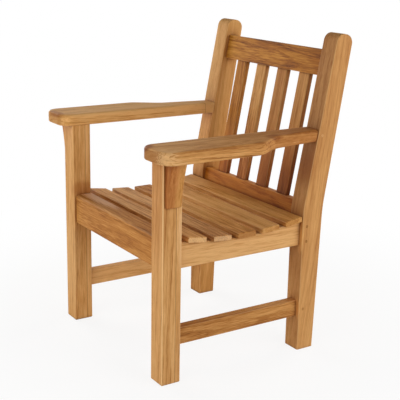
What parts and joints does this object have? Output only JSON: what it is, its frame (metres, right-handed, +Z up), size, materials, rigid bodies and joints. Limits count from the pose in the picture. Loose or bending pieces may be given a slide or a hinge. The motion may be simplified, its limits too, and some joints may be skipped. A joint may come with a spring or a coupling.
{
  "type": "slatted dining armchair",
  "caption": "Hardwood armchair with a dished slat seat, a raked slat back, broad swept arms on bracketed square legs, and a low stretcher on each side.",
  "frame": {"origin": "on the floor under the middle of the chair's overall width and depth", "axes": "+Z up, the chair faces -Y, +X is the sitter's left"},
  "size_m": [0.734, 0.6558, 0.9359],
  "materials": {
    "frame_wood": "planed and sanded hardwood, satin, unvarnished, straight to cathedral grain",
    "slat_wood": "planed and sanded hardwood, satin, a shade deeper than the frame",
    "pin_wood": "end grain of turned pins, sanded flush, darker than the frame"
  },
  "bodies": {
    "root": {"arm_bracket_left": "frame_wood", "arm_bracket_right": "frame_wood", "arm_left": "frame_wood", "arm_right": "frame_wood", "back_slat_1": "slat_wood", "back_slat_2": "slat_wood", "back_slat_3": "slat_wood", "back_slat_4": "slat_wood", "bracket_dowels": "pin_wood", "crest_rail": "frame_wood", "front_leg_left": "frame_wood", "front_leg_right": "frame_wood", "front_seat_rail": "frame_wood", "lower_back_rail": "frame_wood", "post_pins": "pin_wood", "rear_post_left": "frame_wood", "rear_post_right": "frame_wood", "rear_seat_rail": "frame_wood", "seat_slat_1": "slat_wood", "seat_slat_2": "slat_wood", "seat_slat_3": "slat_wood", "seat_slat_4": "slat_wood", "seat_slat_5": "slat_wood", "seat_slat_dowels": "pin_wood", "side_seat_rail_left": "frame_wood", "side_seat_rail_right": "frame_wood", "side_stretcher_left": "frame_wood", "side_stretcher_right": "frame_wood"}
  },
  "joints": []
}
